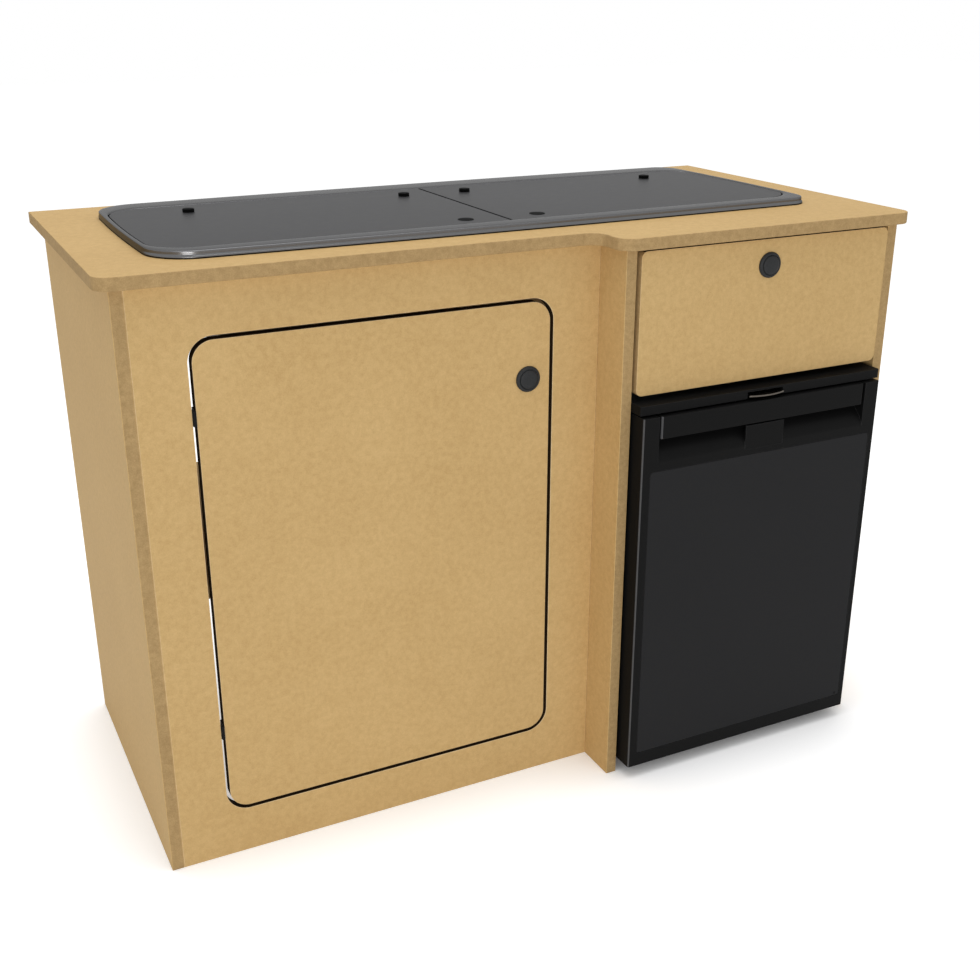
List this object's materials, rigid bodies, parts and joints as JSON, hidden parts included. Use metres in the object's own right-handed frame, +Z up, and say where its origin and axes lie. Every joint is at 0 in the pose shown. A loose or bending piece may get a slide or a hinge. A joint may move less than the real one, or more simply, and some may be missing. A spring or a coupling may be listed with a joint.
{
  "type": "campervan kitchen pod",
  "caption": "Fibreboard kitchen cabinet with a flush cupboard door, a drawer over a slim compressor fridge, and a hob and sink unit under dark glass lids let into its worktop",
  "frame": {"origin": "on the floor under the middle of the whole outline", "axes": "+X runs to the right along the front, as seen from the front; +Y runs to the back; +Z is up"},
  "size_m": [1.046, 0.533, 0.7659],
  "materials": {
    "fibreboard": "bare medium-density fibreboard, smooth face, fuzzy edge",
    "timber": "planed softwood",
    "plywood": "sanded birch plywood",
    "black_plastic": "satin black moulding",
    "grey_plastic": "satin anthracite moulding",
    "panel": "fine-grained dark grey panel",
    "white_plastic": "white liner plastic",
    "rubber": "matt black rubber",
    "black_metal": "black coated steel",
    "zinc": "bright zinc-plated steel",
    "stainless": "polished stainless steel",
    "chrome": "bright chrome",
    "enamel": "black enamel",
    "smoked_glass": "smoked toughened glass"
  },
  "bodies": {
    "cabinet": {"left_end_panel": "fibreboard", "front_panel": "fibreboard", "divider_panel": "fibreboard", "right_end_panel": "fibreboard", "worktop": "fibreboard", "cupboard_shelf": "fibreboard", "shelf_frame": "timber", "cupboard_rear_rail": "fibreboard", "bay_rear_rail": "fibreboard", "lower_hinge_frame_leaf": "black_metal", "upper_hinge_frame_leaf": "black_metal", "drawer_strike": "zinc", "runner_outer_left": "zinc", "runner_outer_right": "zinc", "unit_seal": "rubber", "unit_tray": "stainless", "sink_drain": "chrome", "tap_base": "chrome", "burner_left": "enamel", "burner_right": "enamel", "pan_support": "enamel", "burner_box": "zinc", "fridge_cabinet": "grey_plastic", "fridge_base_plate": "black_metal", "fridge_top_trim": "grey_plastic", "fridge_shelf_upper": "white_plastic", "fridge_shelf_lower": "white_plastic", "cooling_unit": "black_metal"},
    "cupboard_door": {"cupboard_door": "fibreboard", "lower_hinge_door_leaf": "black_metal", "upper_hinge_door_leaf": "black_metal", "door_lock_body": "black_plastic"},
    "door_button": {"door_lock_button": "black_plastic"},
    "door_bolt": {"door_lock_bolt": "zinc"},
    "drawer": {"drawer_front": "fibreboard", "drawer_side_left": "plywood", "drawer_side_right": "plywood", "drawer_back": "plywood", "drawer_base": "plywood", "drawer_lock_body": "black_plastic", "runner_inner_left": "zinc", "runner_inner_right": "zinc"},
    "runner_middles": {"runner_middle_left": "zinc", "runner_middle_right": "zinc"},
    "drawer_button": {"drawer_lock_button": "black_plastic"},
    "drawer_bolt": {"drawer_lock_bolt": "zinc"},
    "lid_left": {"glass_lid_left": "smoked_glass", "lid_hinge_rail_left": "black_metal"},
    "lid_right": {"glass_lid_right": "smoked_glass", "lid_hinge_rail_right": "black_metal"},
    "tap_spout": {"tap_spout": "chrome"},
    "tap_valve": {"tap_valve_knob": "chrome"},
    "hob_knob_left": {"hob_knob_left": "black_plastic"},
    "hob_knob_right": {"hob_knob_right": "black_plastic"},
    "fridge_door": {"fridge_door_shell": "grey_plastic", "fridge_door_panel": "panel", "fridge_handle_bar": "grey_plastic", "fridge_door_seal": "rubber", "fridge_door_liner": "white_plastic"},
    "fridge_latch": {"fridge_latch_lever": "stainless"}
  },
  "joints": [
    {"name": "cupboard_door_hinge", "type": "hinge", "parent": "cabinet", "child": "cupboard_door", "pos_m": [-0.4282, -0.1779, 0.37], "axis": [0, 0, 1], "range_deg": [-110, 0]},
    {"name": "door_button_push", "type": "slide", "parent": "cupboard_door", "child": "door_button", "axis": [0, 1, 0], "range_m": [0, 0.005], "stiffness_N_per_m": 300},
    {"name": "door_bolt_throw", "type": "slide", "parent": "cupboard_door", "child": "door_bolt", "axis": [1, 0, 0], "range_m": [0, 0.012]},
    {"name": "drawer_slide", "type": "slide", "parent": "cabinet", "child": "drawer", "axis": [0, -1, 0], "range_m": [0, 0.33]},
    {"name": "runner_middle_slide", "type": "slide", "parent": "cabinet", "child": "runner_middles", "axis": [0, -1, 0], "range_m": [0, 0.165]},
    {"name": "drawer_button_push", "type": "slide", "parent": "drawer", "child": "drawer_button", "axis": [0, 1, 0], "range_m": [0, 0.005], "stiffness_N_per_m": 300},
    {"name": "drawer_bolt_throw", "type": "slide", "parent": "drawer", "child": "drawer_bolt", "axis": [0, 0, 1], "range_m": [0, 0.008]},
    {"name": "left_lid_hinge", "type": "hinge", "parent": "cabinet", "child": "lid_left", "pos_m": [-0.22475, 0.181, 0.7584], "axis": [1, 0, 0], "range_deg": [-100, 0]},
    {"name": "right_lid_hinge", "type": "hinge", "parent": "cabinet", "child": "lid_right", "pos_m": [0.21975, 0.181, 0.7584], "axis": [1, 0, 0], "range_deg": [-100, 0]},
    {"name": "tap_spout_swivel", "type": "hinge", "parent": "cabinet", "child": "tap_spout", "pos_m": [-0.0945, 0.124, 0.742], "axis": [0, 0, 1], "range_deg": [0, 60]},
    {"name": "tap_valve_turn", "type": "hinge", "parent": "cabinet", "child": "tap_valve", "pos_m": [-0.0945, 0.062, 0.737], "axis": [0, 0, 1], "range_deg": [0, 90]},
    {"name": "left_hob_knob_turn", "type": "hinge", "parent": "cabinet", "child": "hob_knob_left", "pos_m": [0.215, -0.069, 0.737], "axis": [0, 0, 1], "range_deg": [0, 210]},
    {"name": "right_hob_knob_turn", "type": "hinge", "parent": "cabinet", "child": "hob_knob_right", "pos_m": [0.275, -0.069, 0.737], "axis": [0, 0, 1], "range_deg": [0, 210]},
    {"name": "fridge_door_hinge", "type": "hinge", "parent": "cabinet", "child": "fridge_door", "pos_m": [0.477, -0.2495, 0.275], "axis": [0, 0, 1], "range_deg": [0, 110]},
    {"name": "fridge_latch_lift", "type": "hinge", "parent": "cabinet", "child": "fridge_latch", "pos_m": [0.2975, -0.2465, 0.536], "axis": [1, 0, 0], "range_deg": [-14, 0]}
  ],
  "couplings": [
    {"joint": "door_bolt_throw", "follows": "door_button_push", "ratio": 2.4},
    {"joint": "drawer_bolt_throw", "follows": "drawer_button_push", "ratio": 1.6},
    {"joint": "runner_middle_slide", "follows": "drawer_slide", "ratio": 0.5}
  ]
}
